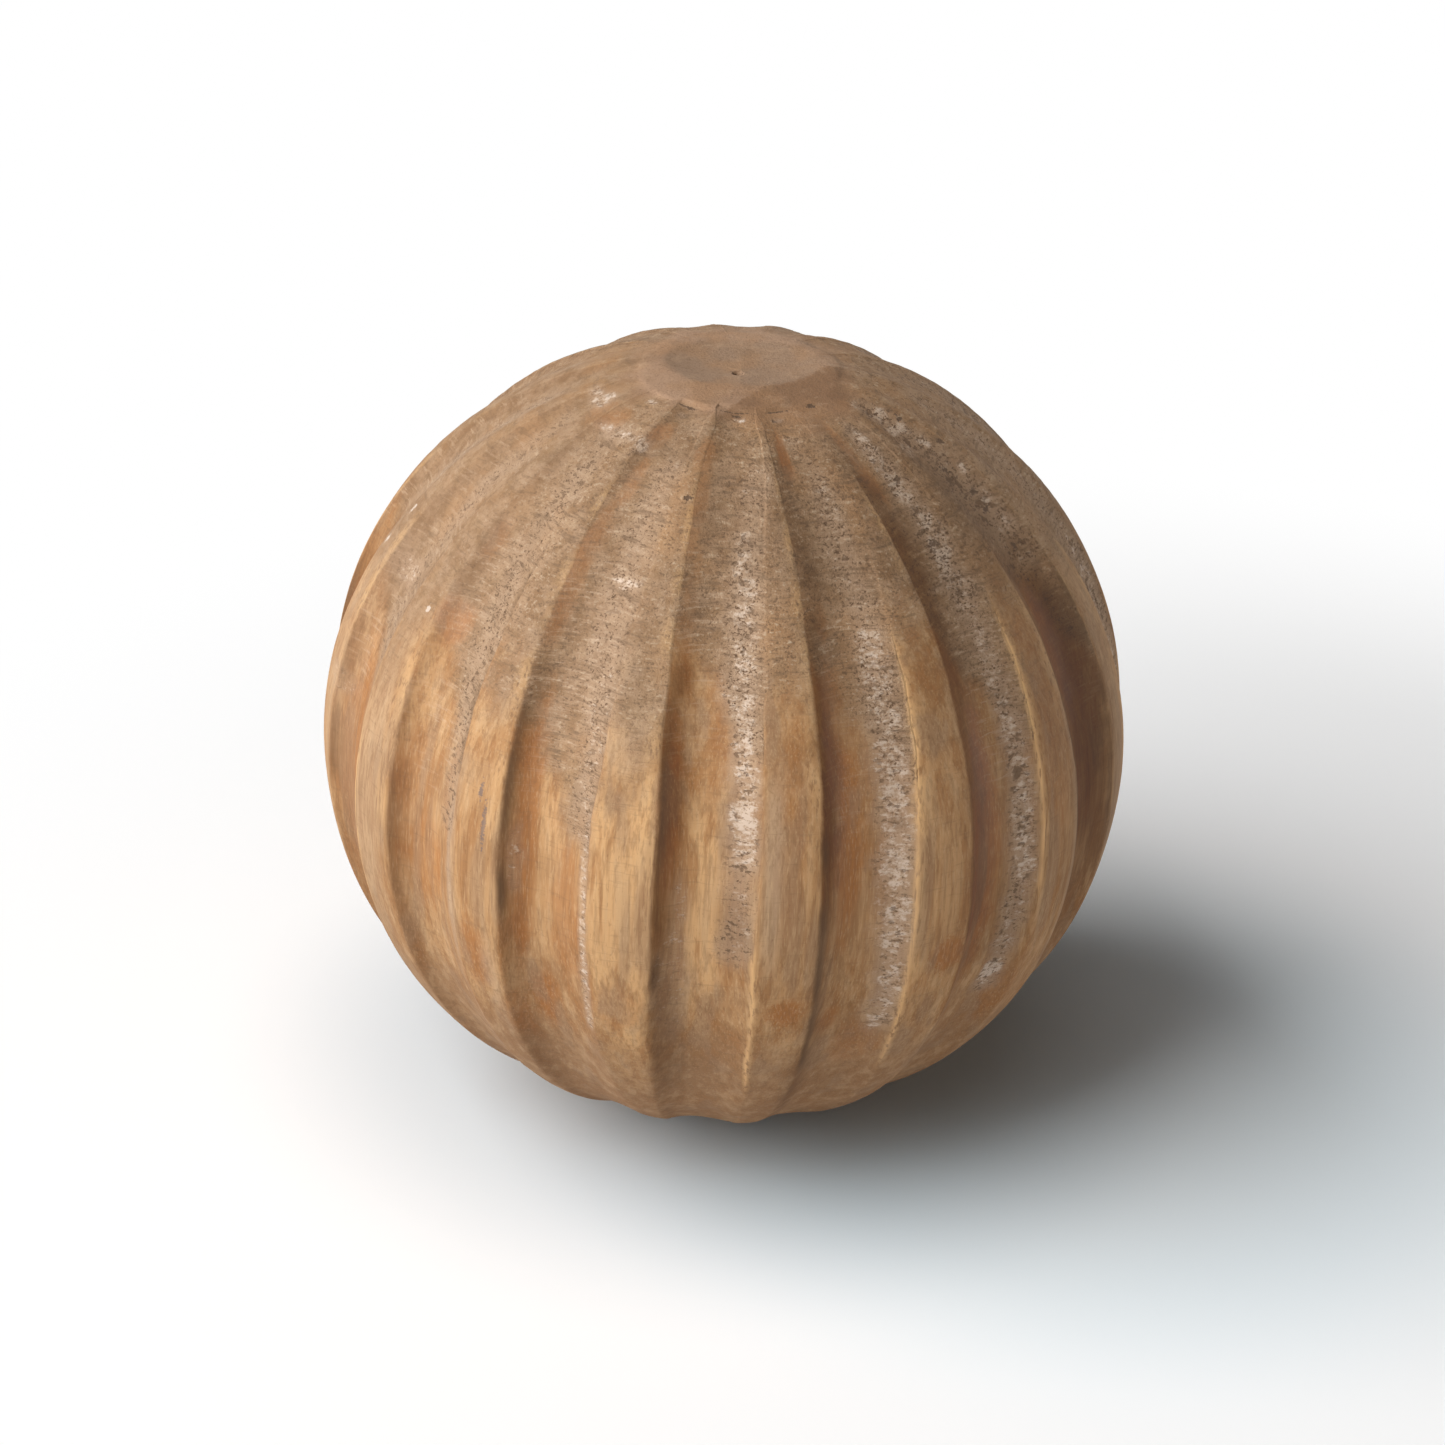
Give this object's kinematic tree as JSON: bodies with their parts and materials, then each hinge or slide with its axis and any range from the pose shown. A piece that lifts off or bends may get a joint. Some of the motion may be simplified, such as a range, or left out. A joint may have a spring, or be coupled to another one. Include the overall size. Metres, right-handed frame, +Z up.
{
  "type": "fluted wooden ball",
  "caption": "Solid carved wooden ball with hollow flutes running from crown to foot, a chiselled crown with a shallow hollow, and a flat foot to stand on.",
  "frame": {"origin": "middle of the dressed foot, on the surface that the ball stands on", "axes": "+Z up along the lathe axis through crown and foot; -Y is the front"},
  "size_m": [0.0998, 0.0998, 0.0971],
  "materials": {
    "limed_wood": "matt limed and sanded, waxed thin"
  },
  "bodies": {
    "root": {"ball": "limed_wood"}
  },
  "joints": []
}
